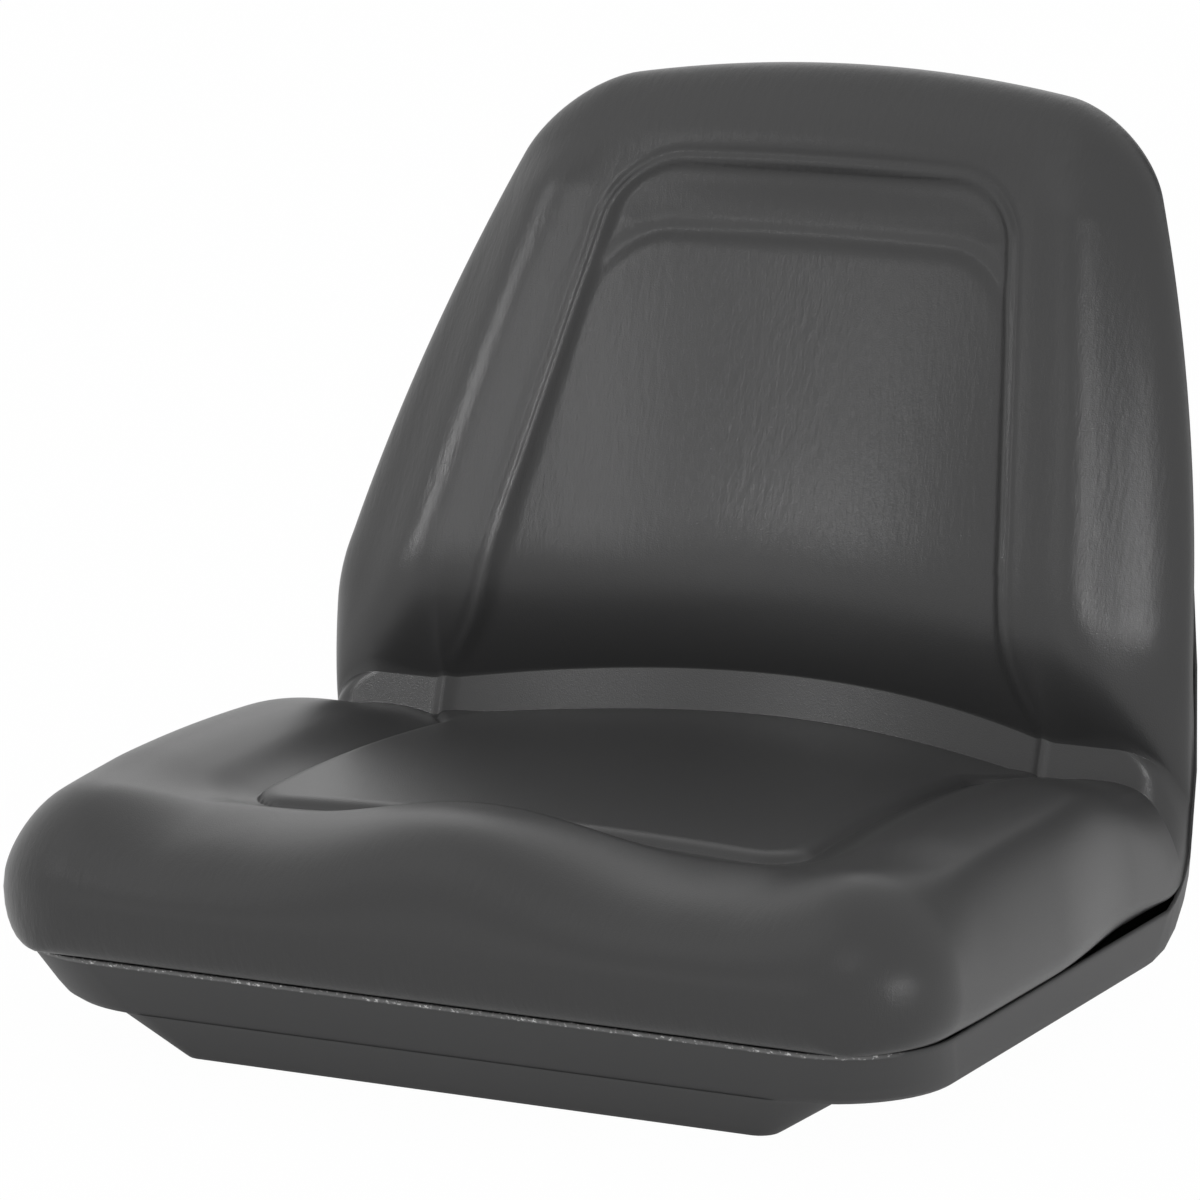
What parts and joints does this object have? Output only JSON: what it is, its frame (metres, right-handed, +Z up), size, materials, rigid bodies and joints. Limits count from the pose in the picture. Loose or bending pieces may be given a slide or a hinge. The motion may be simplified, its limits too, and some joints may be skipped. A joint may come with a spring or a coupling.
{
  "type": "ride on mower seat",
  "caption": "Low-back seat with a moulded vinyl cushion, raised side bolsters and a welted back panel, carried by a pressed steel pan that bolts down through its dished base.",
  "frame": {"origin": "middle of the bolt pattern, on the underside of the mounting dish", "axes": "X across the seat, the front faces -Y, Z up"},
  "size_m": [0.506, 0.5221, 0.4487],
  "materials": {
    "pan_paint": "satin",
    "vinyl": "satin",
    "plated_steel": "satin"
  },
  "bodies": {
    "root": {"seat_pan": "pan_paint", "cushion": "vinyl", "mounting_nuts": "plated_steel"}
  },
  "joints": []
}
